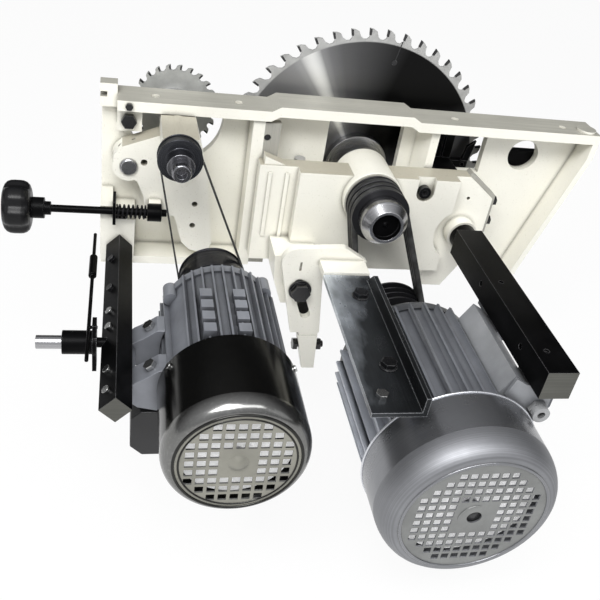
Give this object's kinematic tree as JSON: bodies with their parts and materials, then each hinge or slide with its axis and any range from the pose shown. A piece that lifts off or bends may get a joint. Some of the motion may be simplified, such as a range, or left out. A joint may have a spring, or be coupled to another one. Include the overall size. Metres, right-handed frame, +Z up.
{
  "type": "sliding table saw unit",
  "caption": "Saw unit of a sliding table saw: cast plate with lifting main blade carriage, scoring arm and two belt driven motors on square bars.",
  "frame": {"origin": "centre of the main blade, on the main arbor's axis", "axes": "+X to the right along the plate, +Y towards the blade side, +Z up"},
  "size_m": [0.833, 0.554, 0.4972],
  "materials": {
    "cast_cream": "cream enamel on cast iron, slightly rough",
    "ground_steel": "ground and turned steel",
    "black_steel": "blackened steel, semi-gloss",
    "black_oxide": "black oxide fasteners",
    "motor_grey": "grey painted die-cast aluminium",
    "shield_grey": "dark grey painted casting",
    "cover_silver": "pressed cover, satin silver paint",
    "cover_black": "pressed cover, gloss black enamel",
    "box_black": "black plastic box",
    "box_grey": "light grey painted box",
    "knob_black": "black moulded knob",
    "belt_rubber": "black belt rubber",
    "blade_steel": "ground saw blade plate",
    "bright_steel": "polished turned steel",
    "copper": "varnished windings and core",
    "bronze": "bronze nut",
    "spring_steel": "spring wire"
  },
  "bodies": {
    "frame": {"base_plate": "cast_cream", "slideways": "ground_steel", "rear_rail": "black_steel", "frame_screws": "black_oxide", "left_support_bar": "black_steel", "scoring_motor_foot": "motor_grey", "scoring_motor_screws": "ground_steel", "scoring_motor_housing": "motor_grey", "scoring_motor_stator": "copper", "scoring_motor_bearings": "ground_steel", "scoring_fan_cover": "cover_black", "scoring_terminal_box": "box_black", "spring_stop": "black_steel", "arm_pivot_pin": "ground_steel", "adjuster_spring": "spring_steel"},
    "lock": {"lock_shaft": "black_steel", "lock_lever": "black_steel"},
    "lock_rod": {"lock_link": "black_steel"},
    "lift": {"lift_screw": "ground_steel"},
    "scoring_rotor": {"scoring_rotor": "ground_steel", "scoring_fan": "box_black", "scoring_motor_pulley": "black_steel"},
    "arm": {"scoring_arm": "cast_cream", "scoring_arbor_bearings": "ground_steel", "scoring_belt": "belt_rubber", "adjuster_nut": "black_steel"},
    "scoring_arbor": {"scoring_arbor": "bright_steel", "scoring_arbor_pulley": "black_steel", "scoring_blade": "blade_steel", "scoring_flange": "ground_steel"},
    "adjuster": {"adjuster_rod": "black_steel", "adjuster_knob": "knob_black"},
    "carriage": {"carriage": "cast_cream", "gib_strip": "ground_steel", "carriage_screws": "black_oxide", "arbor_housing": "cast_cream", "main_arbor_bearings": "ground_steel", "knife_holder": "black_steel", "lift_nut": "bronze", "clamp_bolt": "black_oxide", "main_belt": "belt_rubber"},
    "main_arbor": {"main_arbor": "ground_steel", "main_arbor_pulley": "black_steel", "arbor_cap": "bright_steel", "main_blade": "blade_steel", "blade_clamp": "ground_steel"},
    "cradle": {"motor_bracket": "cast_cream", "motor_angle": "ground_steel", "motor_rail": "black_steel", "main_motor_screws": "black_oxide", "main_motor_housing": "motor_grey", "main_motor_end_shield": "shield_grey", "main_motor_stator": "copper", "main_motor_bearings": "ground_steel", "main_fan_cover": "cover_silver", "main_terminal_box": "box_grey", "cable_gland": "box_grey"},
    "main_rotor": {"main_rotor": "ground_steel", "main_fan": "box_black", "main_motor_pulley": "black_steel"}
  },
  "joints": [
    {"name": "carriage_lift", "type": "slide", "parent": "frame", "child": "carriage", "axis": [0, 0, 1], "range_m": [-0.07, 0.04]},
    {"name": "lift_screw_turn", "type": "hinge", "parent": "frame", "child": "lift", "pos_m": [-0.095, -0.05, 0], "axis": [0, 0, 1], "range_deg": [-6300.5, 3600.5]},
    {"name": "main_arbor_spin", "type": "hinge", "parent": "carriage", "child": "main_arbor", "pos_m": [0, 0, 0], "axis": [0, 1, 0], "continuous": true},
    {"name": "motor_swing", "type": "hinge", "parent": "carriage", "child": "cradle", "pos_m": [0.153, -0.1, -0.0565], "axis": [0, 1, 0], "range_deg": [-1, 5], "deforming": ["main_belt"]},
    {"name": "main_motor_spin", "type": "hinge", "parent": "cradle", "child": "main_rotor", "pos_m": [0.0583, -0.3, -0.1881], "axis": [0, 1, 0], "continuous": true},
    {"name": "scoring_swing", "type": "hinge", "parent": "frame", "child": "arm", "pos_m": [-0.332, -0.065, 0.01], "axis": [0, 1, 0], "range_deg": [-3, 3], "deforming": ["scoring_belt", "adjuster_spring"]},
    {"name": "scoring_arbor_spin", "type": "hinge", "parent": "arm", "child": "scoring_arbor", "pos_m": [-0.2715, -0.1, 0.066], "axis": [0, 1, 0], "continuous": true},
    {"name": "scoring_motor_spin", "type": "hinge", "parent": "frame", "child": "scoring_rotor", "pos_m": [-0.2177, -0.3, -0.1109], "axis": [0, 1, 0], "continuous": true},
    {"name": "adjuster_turn", "type": "hinge", "parent": "frame", "child": "adjuster", "pos_m": [-0.4, -0.1, -0.047], "axis": [1, 0, 0], "range_deg": [-365, 365]},
    {"name": "lock_turn", "type": "hinge", "parent": "frame", "child": "lock", "pos_m": [-0.38, -0.312, -0.104], "axis": [1, 0, 0], "range_deg": [-15, 15]},
    {"name": "lock_rod_slide", "type": "slide", "parent": "frame", "child": "lock_rod", "axis": [0, 1, 0], "range_m": [-0.0058, 0.0058]}
  ],
  "couplings": [
    {"joint": "lift_screw_turn", "follows": "carriage_lift", "rad_per_m": 1570.8},
    {"joint": "main_motor_spin", "follows": "main_arbor_spin", "ratio": 0.66245},
    {"joint": "scoring_motor_spin", "follows": "scoring_arbor_spin", "ratio": 0.56221},
    {"joint": "adjuster_turn", "follows": "scoring_swing", "ratio": 119.38},
    {"joint": "lock_rod_slide", "follows": "lock_turn", "m_per_rad": -0.022}
  ]
}
